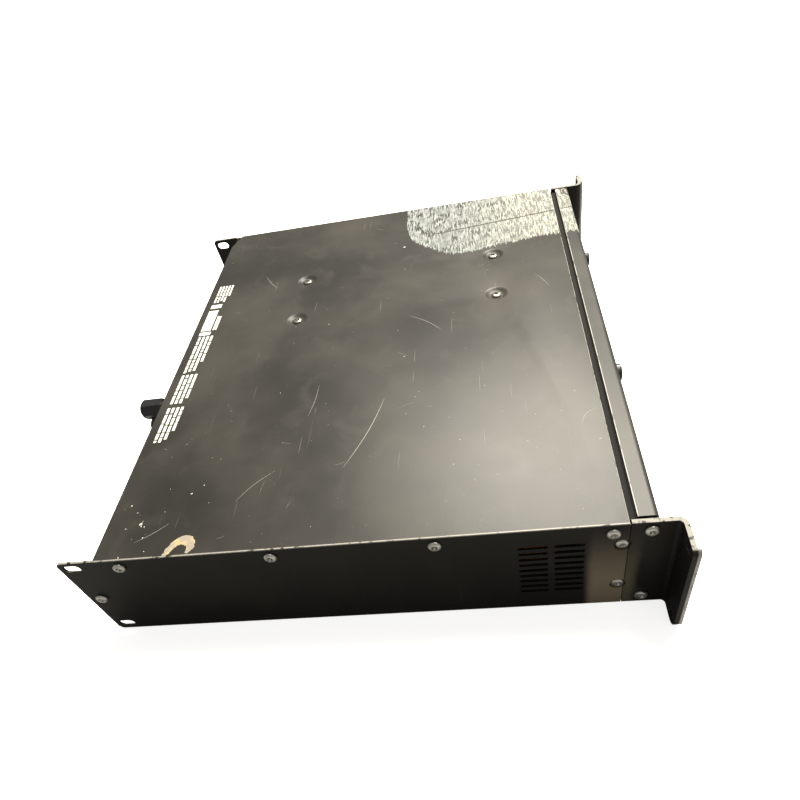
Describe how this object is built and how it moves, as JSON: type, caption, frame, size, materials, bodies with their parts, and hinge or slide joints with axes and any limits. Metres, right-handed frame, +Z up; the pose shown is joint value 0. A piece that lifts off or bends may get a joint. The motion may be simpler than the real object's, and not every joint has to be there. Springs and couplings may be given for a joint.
{
  "type": "rack power amplifier",
  "caption": "Two-unit rack-mount power amplifier with vented steel case, ear brackets, dimpled cover, gain knobs, power rocker, fan, binding posts and working switches.",
  "frame": {"origin": "centre of the base, under the middle of the overall box", "axes": "+Z up; the front with the ears and knobs faces -Y; +X is the right side seen from the front"},
  "size_m": [0.4826, 0.407, 0.088],
  "materials": {
    "case_black": "satin black powder coat on steel",
    "cover_paint": "dark grey fine-textured powder coat, worn and scratched",
    "ear_black": "satin black coat on bent steel, worn bright on the edges",
    "ear_facing": "brushed satin plate",
    "knob_plastic": "satin moulded, fluted grip",
    "control_steel": "plated steel",
    "pot_case": "moulded control body",
    "switch_black": "matt moulded",
    "rocker_red": "glossy moulded",
    "lens_green": "clear tinted light guides",
    "board_green": "lacquered circuit board",
    "contact_brass": "plated contact metal",
    "fan_black": "matt moulded",
    "bright_wire": "bright plated wire",
    "post_black": "smooth moulded hexagon",
    "socket_black": "satin moulded",
    "slider_white": "matt moulded",
    "winding_wrap": null,
    "pad_rubber": "matt sheet rubber",
    "sink_aluminium": "plain extrusion",
    "capacitor_sleeve": "printed-free blue sleeve",
    "screw_zinc": "zinc plated, slightly dull",
    "screw_dark": "dark plated"
  },
  "bodies": {
    "case": {"chassis_tray": "case_black", "top_cover": "cover_paint", "front_panel": "cover_paint", "rear_panel": "case_black", "left_ear_bracket": "ear_black", "right_ear_bracket": "ear_black", "left_ear_facing": "ear_facing", "right_ear_facing": "ear_facing", "gain_pot_1": "pot_case", "gain_pot_2": "pot_case", "gain_nuts": "control_steel", "power_switch_body": "switch_black", "indicator_lenses": "lens_green", "front_boards": "board_green", "power_inlet": "switch_black", "inlet_pins": "contact_brass", "breaker_body": "switch_black", "fan_frame": "fan_black", "fan_guard": "bright_wire", "post_base": "switch_black", "post_studs": "contact_brass", "xlr_input_1": "socket_black", "xlr_input_2": "socket_black", "jack_inputs": "socket_black", "xlr_inserts": "socket_black", "rear_nuts": "control_steel", "mode_switch": "switch_black", "toroidal_transformer": "winding_wrap", "transformer_pad": "pad_rubber", "transformer_clamp": "control_steel", "transformer_bolt": "control_steel", "left_heatsink": "sink_aluminium", "right_heatsink": "sink_aluminium", "output_transistors": "switch_black", "main_board": "board_green", "driver_board": "board_green", "reservoir_capacitors": "capacitor_sleeve", "board_standoffs": "control_steel", "cover_screws": "screw_zinc", "dimple_screws": "screw_dark", "ear_screws": "screw_zinc", "rear_screws": "screw_zinc"},
    "gain_1": {"gain_knob_1": "knob_plastic", "gain_shaft_1": "control_steel"},
    "gain_2": {"gain_knob_2": "knob_plastic", "gain_shaft_2": "control_steel"},
    "power_rocker": {"power_rocker": "rocker_red"},
    "breaker_button": {"breaker_button": "rocker_red"},
    "fan_rotor": {"fan_rotor": "fan_black"},
    "xlr_latch_1": {"xlr_latch_1": "control_steel"},
    "xlr_latch_2": {"xlr_latch_2": "control_steel"},
    "mode_slider": {"mode_slider": "slider_white"},
    "post_washer_1": {"post_washer_1": "contact_brass"},
    "post_cap_1": {"post_cap_1": "post_black"},
    "post_washer_2": {"post_washer_2": "contact_brass"},
    "post_cap_2": {"post_cap_2": "post_black"},
    "post_washer_3": {"post_washer_3": "contact_brass"},
    "post_cap_3": {"post_cap_3": "post_black"},
    "post_washer_4": {"post_washer_4": "contact_brass"},
    "post_cap_4": {"post_cap_4": "post_black"}
  },
  "joints": [
    {"name": "gain_1_turn", "type": "hinge", "parent": "case", "child": "gain_1", "pos_m": [-0.035, -0.195, 0.046], "axis": [0, -1, 0], "range_deg": [-150, 150]},
    {"name": "gain_2_turn", "type": "hinge", "parent": "case", "child": "gain_2", "pos_m": [0.143, -0.195, 0.046], "axis": [0, -1, 0], "range_deg": [-150, 150]},
    {"name": "power_rock", "type": "hinge", "parent": "case", "child": "power_rocker", "pos_m": [-0.178, -0.1825, 0.044], "axis": [1, 0, 0], "range_deg": [0, 18]},
    {"name": "fan_spin", "type": "hinge", "parent": "case", "child": "fan_rotor", "pos_m": [0.07, 0.16, 0.0436], "axis": [0, 1, 0], "continuous": true},
    {"name": "breaker_pop", "type": "slide", "parent": "case", "child": "breaker_button", "axis": [0, 1, 0], "range_m": [0, 0.004]},
    {"name": "post_1_travel", "type": "slide", "parent": "case", "child": "post_washer_1", "axis": [0, 1, 0], "range_m": [0, 0.003]},
    {"name": "post_1_turn", "type": "hinge", "parent": "post_washer_1", "child": "post_cap_1", "pos_m": [-0.05, 0.19, 0.0745], "axis": [0, 1, 0], "range_deg": [0, 1081]},
    {"name": "post_2_travel", "type": "slide", "parent": "case", "child": "post_washer_2", "axis": [0, 1, 0], "range_m": [0, 0.003]},
    {"name": "post_2_turn", "type": "hinge", "parent": "post_washer_2", "child": "post_cap_2", "pos_m": [-0.05, 0.19, 0.0555], "axis": [0, 1, 0], "range_deg": [0, 1081]},
    {"name": "post_3_travel", "type": "slide", "parent": "case", "child": "post_washer_3", "axis": [0, 1, 0], "range_m": [0, 0.003]},
    {"name": "post_3_turn", "type": "hinge", "parent": "post_washer_3", "child": "post_cap_3", "pos_m": [-0.05, 0.19, 0.0365], "axis": [0, 1, 0], "range_deg": [0, 1081]},
    {"name": "post_4_travel", "type": "slide", "parent": "case", "child": "post_washer_4", "axis": [0, 1, 0], "range_m": [0, 0.003]},
    {"name": "post_4_turn", "type": "hinge", "parent": "post_washer_4", "child": "post_cap_4", "pos_m": [-0.05, 0.19, 0.0175], "axis": [0, 1, 0], "range_deg": [0, 1081]},
    {"name": "xlr_latch_1_press", "type": "slide", "parent": "case", "child": "xlr_latch_1", "axis": [0, -1, 0], "range_m": [0, 0.002], "stiffness_N_per_m": 500},
    {"name": "xlr_latch_2_press", "type": "slide", "parent": "case", "child": "xlr_latch_2", "axis": [0, -1, 0], "range_m": [0, 0.002], "stiffness_N_per_m": 500},
    {"name": "mode_slide", "type": "slide", "parent": "case", "child": "mode_slider", "axis": [1, 0, 0], "range_m": [-0.003, 0.003]}
  ],
  "couplings": [
    {"joint": "post_1_turn", "follows": "post_1_travel", "rad_per_m": 6283.2},
    {"joint": "post_2_turn", "follows": "post_2_travel", "rad_per_m": 6283.2},
    {"joint": "post_3_turn", "follows": "post_3_travel", "rad_per_m": 6283.2},
    {"joint": "post_4_turn", "follows": "post_4_travel", "rad_per_m": 6283.2}
  ]
}
